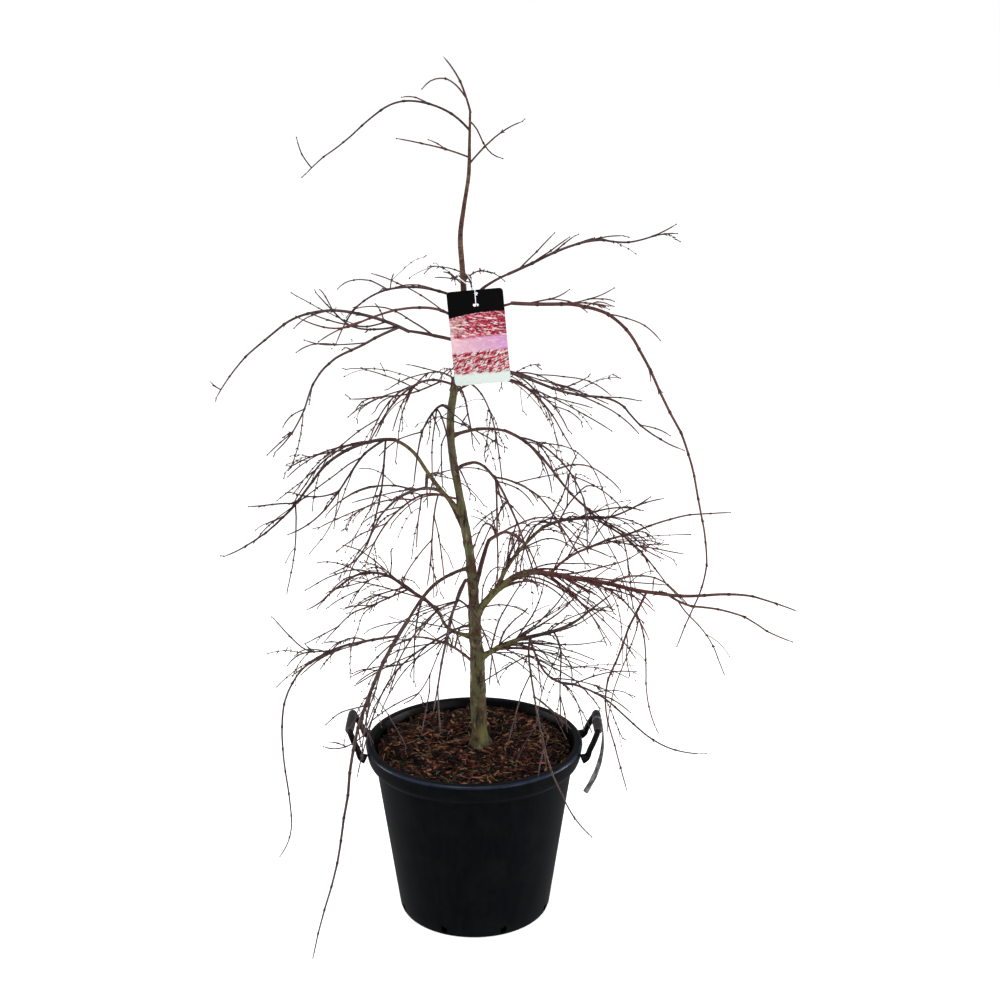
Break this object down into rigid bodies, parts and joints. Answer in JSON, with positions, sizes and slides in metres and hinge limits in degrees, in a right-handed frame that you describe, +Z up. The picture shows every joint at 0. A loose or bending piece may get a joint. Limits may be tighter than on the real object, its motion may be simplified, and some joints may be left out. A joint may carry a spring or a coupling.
{
  "type": "potted japanese maple",
  "caption": "Young weeping maple, bare in winter, with a leader, arching boughs and fine drooping twigs, in a round nursery pot of bark mulch with loop handles and a blank hang tag.",
  "frame": {"origin": "middle of the flat underside of the pot", "axes": "+Z up along the trunk; the hang tag faces -Y; the handles are at -X and +X"},
  "size_m": [1.0876, 0.789, 1.6319],
  "materials": {
    "pot_plastic": "satin black moulded plastic, dusty and water spotted",
    "mulch": "moist bark chips and fibre",
    "bark": "grey-green young bark with brown patches and lichen",
    "twig": "dark maroon twigs with paired buds",
    "tag_card": "laminated card with a plain leaf pattern",
    "elastic": "white elastic cord",
    "paper_strip": "blank white label strip"
  },
  "bodies": {
    "root": {"bough_back_low": "bark", "bough_back_mid": "bark", "bough_back_upper": "bark", "bough_front_low": "bark", "bough_front_mid": "bark", "bough_left_arch": "bark", "bough_left_hook": "bark", "bough_left_main": "bark", "bough_left_top": "bark", "bough_right_arch": "bark", "bough_right_low": "bark", "bough_right_main": "bark", "bough_right_rising": "bark", "bough_right_top": "bark", "bough_right_upper": "bark", "handle_left": "pot_plastic", "handle_right": "pot_plastic", "handle_strip": "paper_strip", "mulch": "mulch", "pot": "pot_plastic", "tag": "tag_card", "tag_elastic": "elastic", "trunk": "bark", "twigs_back_low": "twig", "twigs_back_mid": "twig", "twigs_back_skirt": "twig", "twigs_back_top": "twig", "twigs_back_upper": "twig", "twigs_front_high": "twig", "twigs_front_low": "twig", "twigs_front_mid": "twig", "twigs_left_arch": "twig", "twigs_left_crest": "twig", "twigs_left_fan": "twig", "twigs_left_high": "twig", "twigs_left_inner": "twig", "twigs_left_low": "twig", "twigs_left_mid": "twig", "twigs_left_skirt": "twig", "twigs_left_upper": "twig", "twigs_right_arch": "twig", "twigs_right_inner": "twig", "twigs_right_long": "twig", "twigs_right_low": "twig", "twigs_right_main": "twig", "twigs_right_rising": "twig", "twigs_right_top": "twig", "twigs_right_upper": "twig", "twigs_tip": "twig", "twigs_top_drop": "twig", "twigs_top_left": "twig", "twigs_top_low": "twig", "twigs_top_right": "twig"}
  },
  "joints": []
}
